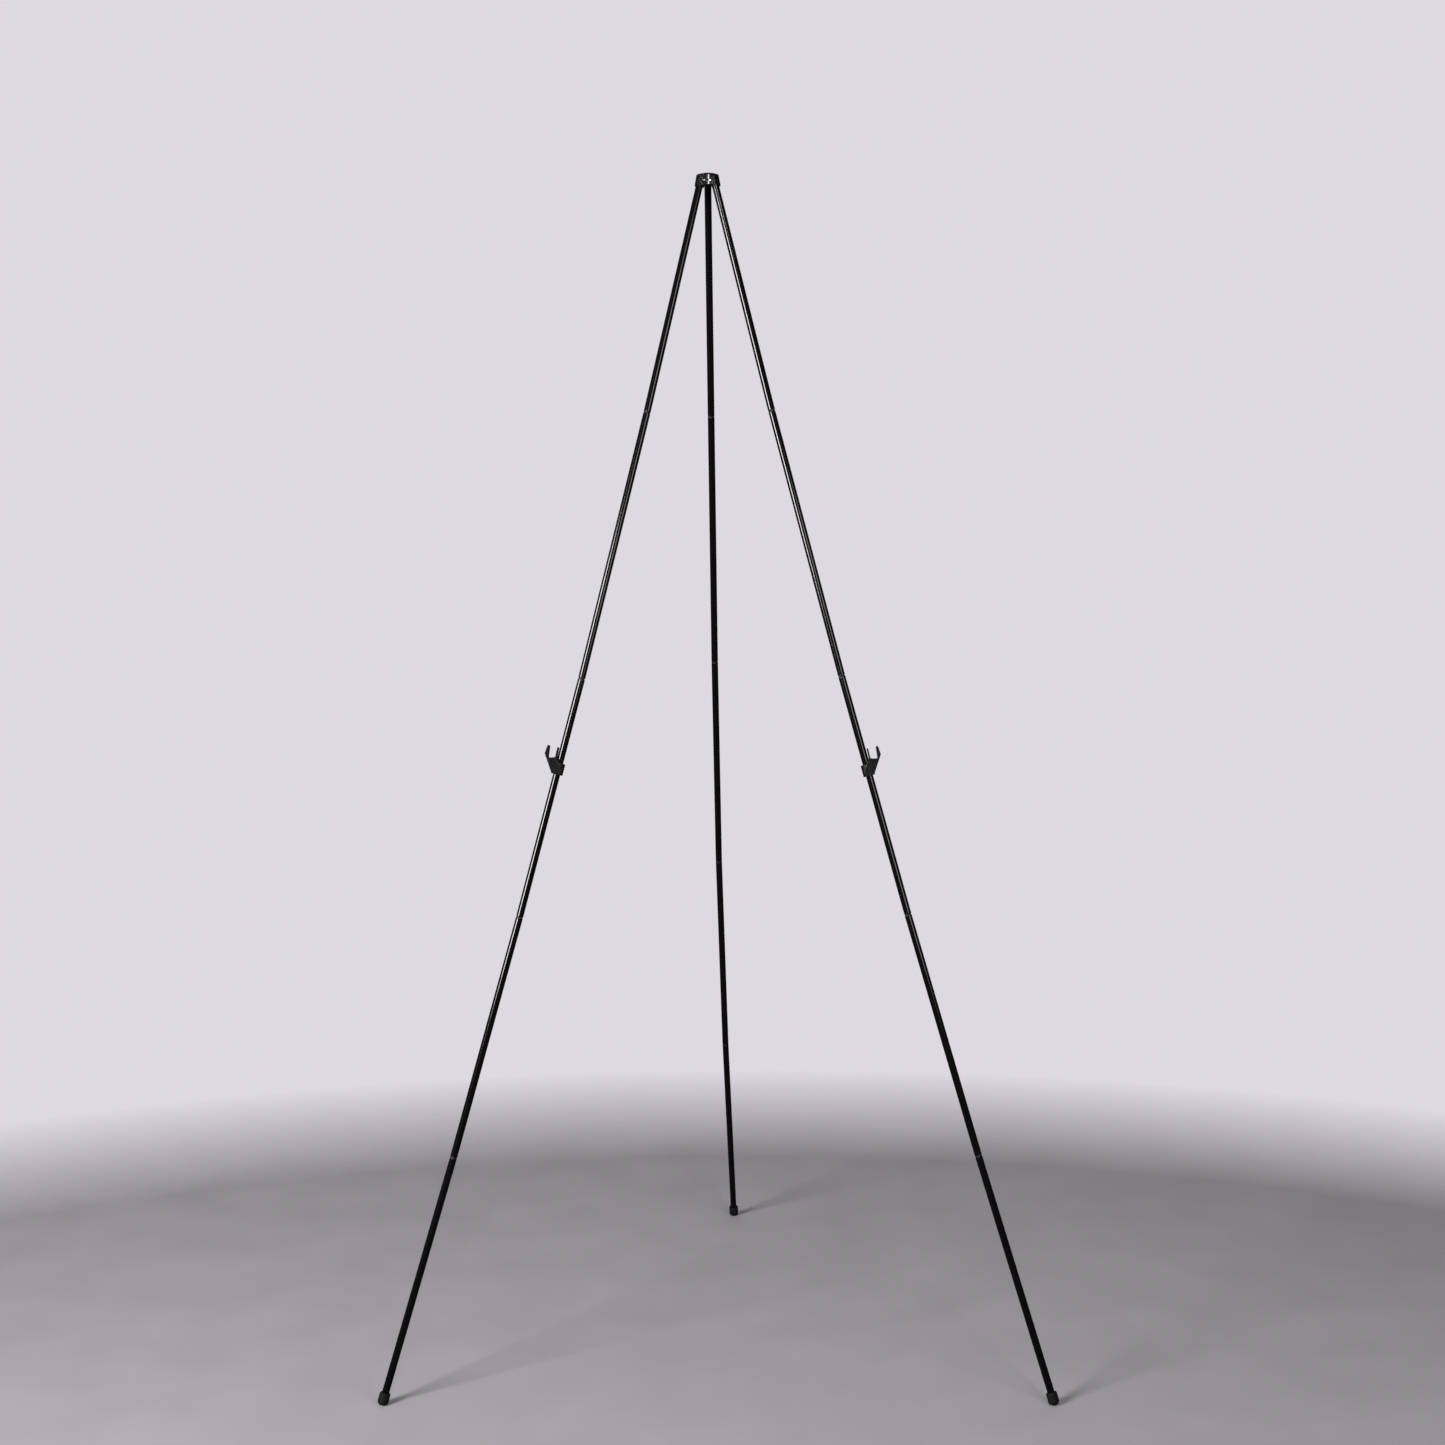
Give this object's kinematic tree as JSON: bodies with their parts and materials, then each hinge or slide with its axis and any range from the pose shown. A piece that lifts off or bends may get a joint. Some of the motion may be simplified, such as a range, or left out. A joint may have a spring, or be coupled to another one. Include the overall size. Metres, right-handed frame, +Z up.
{
  "type": "tripod field easel",
  "caption": "Collapsible tripod display easel: slim shock-corded tube legs pivot in a small hub and stand on rubber feet, with sliding hooks on the front legs to hold a board.",
  "frame": {"origin": "middle of the bounding box of the three-legged footprint, on the floor", "axes": "+Z up; the front of the easel, with the two holders, faces -Y; the rear leg is on +Y; X runs from the left leg to the right leg as seen from the front"},
  "size_m": [0.8854, 0.7688, 1.6062],
  "materials": {
    "black_tube": "gloss",
    "hub_plastic": "gloss",
    "trim_plastic": "satin",
    "rubber": "matte",
    "bright_steel": "polished",
    "zinc_steel": "zinc plated",
    "cord": "braided"
  },
  "bodies": {
    "hub": {"hub_body": "hub_plastic", "hub_cap": "hub_plastic", "left_pivot_pin": "bright_steel", "right_pivot_pin": "bright_steel", "rear_pivot_pin": "bright_steel"},
    "left_leg_1": {"left_leg_plug": "trim_plastic", "left_tube_1": "black_tube", "left_ferrule_1": "zinc_steel", "left_cord": "cord"},
    "left_leg_2": {"left_tube_2": "black_tube", "left_ferrule_2": "zinc_steel"},
    "left_leg_3": {"left_tube_3": "black_tube", "left_ferrule_3": "zinc_steel"},
    "left_leg_4": {"left_tube_4": "black_tube", "left_ferrule_4": "zinc_steel"},
    "left_leg_5": {"left_tube_5": "black_tube", "left_cord_anchor": "trim_plastic", "left_foot": "rubber"},
    "right_leg_1": {"right_leg_plug": "trim_plastic", "right_tube_1": "black_tube", "right_ferrule_1": "zinc_steel", "right_cord": "cord"},
    "right_leg_2": {"right_tube_2": "black_tube", "right_ferrule_2": "zinc_steel"},
    "right_leg_3": {"right_tube_3": "black_tube", "right_ferrule_3": "zinc_steel"},
    "right_leg_4": {"right_tube_4": "black_tube", "right_ferrule_4": "zinc_steel"},
    "right_leg_5": {"right_tube_5": "black_tube", "right_cord_anchor": "trim_plastic", "right_foot": "rubber"},
    "rear_leg_1": {"rear_leg_plug": "trim_plastic", "rear_tube_1": "black_tube", "rear_ferrule_1": "zinc_steel", "rear_cord": "cord"},
    "rear_leg_2": {"rear_tube_2": "black_tube", "rear_ferrule_2": "zinc_steel"},
    "rear_leg_3": {"rear_tube_3": "black_tube", "rear_ferrule_3": "zinc_steel"},
    "rear_leg_4": {"rear_tube_4": "black_tube", "rear_ferrule_4": "zinc_steel"},
    "rear_leg_5": {"rear_tube_5": "black_tube", "rear_cord_anchor": "trim_plastic", "rear_foot": "rubber"},
    "left_holder_slider": {"left_holder_grip": "rubber"},
    "left_holder": {"left_holder_hook": "trim_plastic"},
    "right_holder_slider": {"right_holder_grip": "rubber"},
    "right_holder": {"right_holder_hook": "trim_plastic"}
  },
  "joints": [
    {"name": "left_leg_fold", "type": "hinge", "parent": "hub", "child": "left_leg_1", "pos_m": [-0.00927, -0.13107, 1.59486], "axis": [0.5, -0.866, 0], "range_deg": [0, 16]},
    {"name": "left_pull_1_2", "type": "slide", "parent": "left_leg_1", "child": "left_leg_2", "axis": [-0.2439, -0.1408, -0.9595], "range_m": [0, 0.03], "stiffness_N_per_m": 25, "springref_m": -0.6, "deforming": ["left_cord"]},
    {"name": "left_pull_2_3", "type": "slide", "parent": "left_leg_2", "child": "left_leg_3", "axis": [-0.2564, -0.148, -0.9552], "range_m": [0, 0.03], "stiffness_N_per_m": 25, "springref_m": -0.6, "deforming": ["left_cord"]},
    {"name": "left_pull_3_4", "type": "slide", "parent": "left_leg_3", "child": "left_leg_4", "axis": [-0.2688, -0.1552, -0.9506], "range_m": [0, 0.03], "stiffness_N_per_m": 25, "springref_m": -0.6, "deforming": ["left_cord"]},
    {"name": "left_pull_4_5", "type": "slide", "parent": "left_leg_4", "child": "left_leg_5", "axis": [-0.2811, -0.1623, -0.9459], "range_m": [0, 0.03], "stiffness_N_per_m": 25, "springref_m": -0.6, "deforming": ["left_cord"]},
    {"name": "right_leg_fold", "type": "hinge", "parent": "hub", "child": "right_leg_1", "pos_m": [0.00927, -0.13107, 1.59486], "axis": [0.5, 0.866, 0], "range_deg": [0, 16]},
    {"name": "right_pull_1_2", "type": "slide", "parent": "right_leg_1", "child": "right_leg_2", "axis": [0.2439, -0.1408, -0.9595], "range_m": [0, 0.03], "stiffness_N_per_m": 25, "springref_m": -0.6, "deforming": ["right_cord"]},
    {"name": "right_pull_2_3", "type": "slide", "parent": "right_leg_2", "child": "right_leg_3", "axis": [0.2564, -0.148, -0.9552], "range_m": [0, 0.03], "stiffness_N_per_m": 25, "springref_m": -0.6, "deforming": ["right_cord"]},
    {"name": "right_pull_3_4", "type": "slide", "parent": "right_leg_3", "child": "right_leg_4", "axis": [0.2688, -0.1552, -0.9506], "range_m": [0, 0.03], "stiffness_N_per_m": 25, "springref_m": -0.6, "deforming": ["right_cord"]},
    {"name": "right_pull_4_5", "type": "slide", "parent": "right_leg_4", "child": "right_leg_5", "axis": [0.2811, -0.1623, -0.9459], "range_m": [0, 0.03], "stiffness_N_per_m": 25, "springref_m": -0.6, "deforming": ["right_cord"]},
    {"name": "rear_leg_fold", "type": "hinge", "parent": "hub", "child": "rear_leg_1", "pos_m": [0, -0.11503, 1.59486], "axis": [-1, 0, 0], "range_deg": [0, 16]},
    {"name": "rear_pull_1_2", "type": "slide", "parent": "rear_leg_1", "child": "rear_leg_2", "axis": [-0.0075, 0.2817, -0.9595], "range_m": [0, 0.03], "stiffness_N_per_m": 25, "springref_m": -0.6, "deforming": ["rear_cord"]},
    {"name": "rear_pull_2_3", "type": "slide", "parent": "rear_leg_2", "child": "rear_leg_3", "axis": [-0.0023, 0.296, -0.9552], "range_m": [0, 0.03], "stiffness_N_per_m": 25, "springref_m": -0.6, "deforming": ["rear_cord"]},
    {"name": "rear_pull_3_4", "type": "slide", "parent": "rear_leg_3", "child": "rear_leg_4", "axis": [0.0109, 0.3103, -0.9506], "range_m": [0, 0.03], "stiffness_N_per_m": 25, "springref_m": -0.6, "deforming": ["rear_cord"]},
    {"name": "rear_pull_4_5", "type": "slide", "parent": "rear_leg_4", "child": "rear_leg_5", "axis": [0.0214, 0.3245, -0.9457], "range_m": [0, 0.03], "stiffness_N_per_m": 25, "springref_m": -0.6, "deforming": ["rear_cord"]},
    {"name": "left_holder_slide", "type": "slide", "parent": "left_leg_3", "child": "left_holder_slider", "axis": [0.2564, 0.148, 0.9552], "range_m": [-0.186, 0.104]},
    {"name": "left_holder_turn", "type": "hinge", "parent": "left_holder_slider", "child": "left_holder", "pos_m": [-0.20427, -0.24366, 0.81735], "axis": [0.2564, 0.148, 0.9552], "range_deg": [-35, 90]},
    {"name": "right_holder_slide", "type": "slide", "parent": "right_leg_3", "child": "right_holder_slider", "axis": [-0.2564, 0.148, 0.9552], "range_m": [-0.18, 0.11]},
    {"name": "right_holder_turn", "type": "hinge", "parent": "right_holder_slider", "child": "right_holder", "pos_m": [0.20568, -0.24447, 0.8121], "axis": [-0.2564, 0.148, 0.9552], "range_deg": [-90, 35]}
  ]
}
